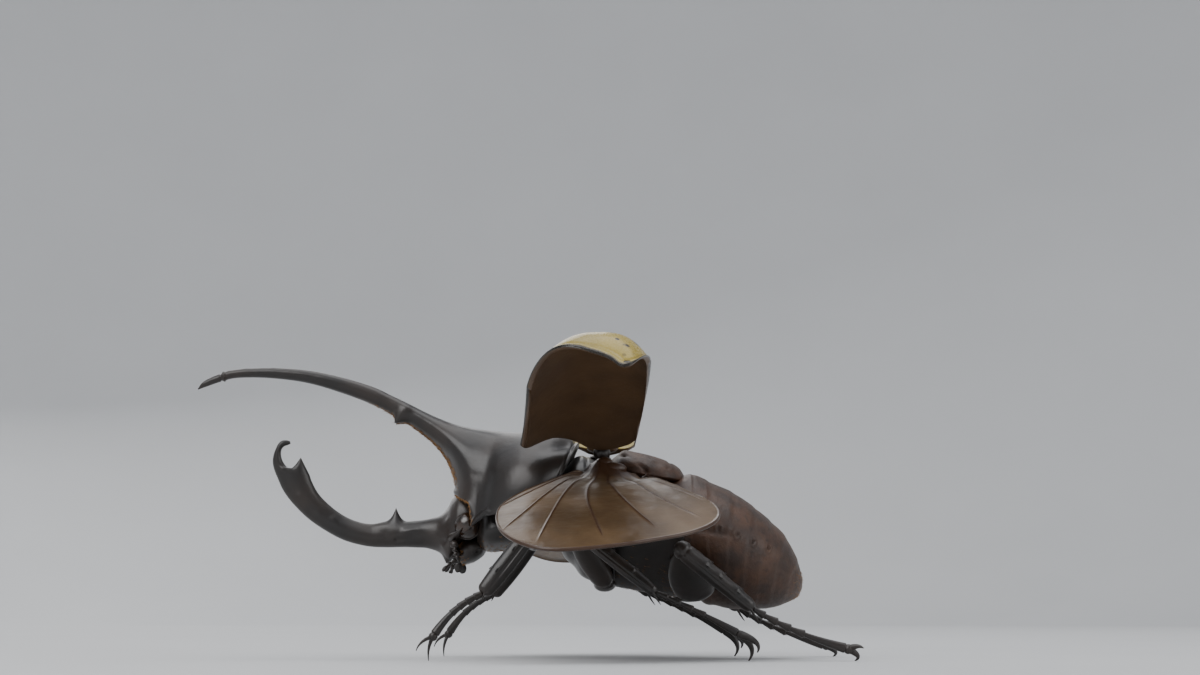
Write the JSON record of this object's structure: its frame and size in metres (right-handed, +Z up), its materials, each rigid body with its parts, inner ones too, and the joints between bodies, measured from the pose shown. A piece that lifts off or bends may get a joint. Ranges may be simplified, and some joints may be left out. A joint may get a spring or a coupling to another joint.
{
  "type": "hercules beetle, life-size still model",
  "caption": "Male Hercules beetle at life size, standing on its claws with raised wing cases, half-open hind wings and two long curved horns.",
  "frame": {"origin": "on the floor, midway between the ends of the animal and on its mirror plane", "axes": "-X towards the head and horns, +X towards the tail, -Y to the animal's left, +Z up"},
  "size_m": [0.1538, 0.1354, 0.0723],
  "materials": {
    "black_shell": "glossy black chitin of horns, head, thorax and legs",
    "olive_shell": "satin olive-yellow chitin with black spots, of the wing cases",
    "brown_skin": "shiny dark brown chitin of the abdomen and the back under the wings",
    "wing_skin": "smoky brown veined wing membrane",
    "eye_lens": "polished dark facetted eye",
    "hair": "golden-brown bristles under the upper horn and along the plates"
  },
  "bodies": {
    "root": {"abdomen": "brown_skin", "antenna_left": "black_shell", "antenna_right": "black_shell", "cephalic_horn": "black_shell", "eye_left": "eye_lens", "eye_right": "eye_lens", "front_claws_left": "black_shell", "front_claws_right": "black_shell", "front_coxa_left": "black_shell", "front_coxa_right": "black_shell", "front_femur_left": "black_shell", "front_femur_right": "black_shell", "front_tarsus_left": "black_shell", "front_tarsus_right": "black_shell", "front_tibia_left": "black_shell", "front_tibia_right": "black_shell", "head": "black_shell", "hind_claws_left": "black_shell", "hind_claws_right": "black_shell", "hind_coxa_left": "black_shell", "hind_coxa_right": "black_shell", "hind_femur_left": "black_shell", "hind_femur_right": "black_shell", "hind_tarsus_left": "black_shell", "hind_tarsus_right": "black_shell", "hind_tibia_left": "black_shell", "hind_tibia_right": "black_shell", "hind_wing_left": "wing_skin", "hind_wing_right": "wing_skin", "mesothorax": "black_shell", "metanotum": "brown_skin", "metathorax": "black_shell", "mid_claws_left": "black_shell", "mid_claws_right": "black_shell", "mid_coxa_left": "black_shell", "mid_coxa_right": "black_shell", "mid_femur_left": "black_shell", "mid_femur_right": "black_shell", "mid_tarsus_left": "black_shell", "mid_tarsus_right": "black_shell", "mid_tibia_left": "black_shell", "mid_tibia_right": "black_shell", "mouthparts": "black_shell", "palp_left": "black_shell", "palp_right": "black_shell", "pronotum": "black_shell", "prosternum": "black_shell", "scutellum": "black_shell", "thoracic_horn": "black_shell", "wing_case_hinge_left": "black_shell", "wing_case_hinge_right": "black_shell", "wing_case_left": "olive_shell", "wing_case_right": "olive_shell"}
  },
  "joints": []
}
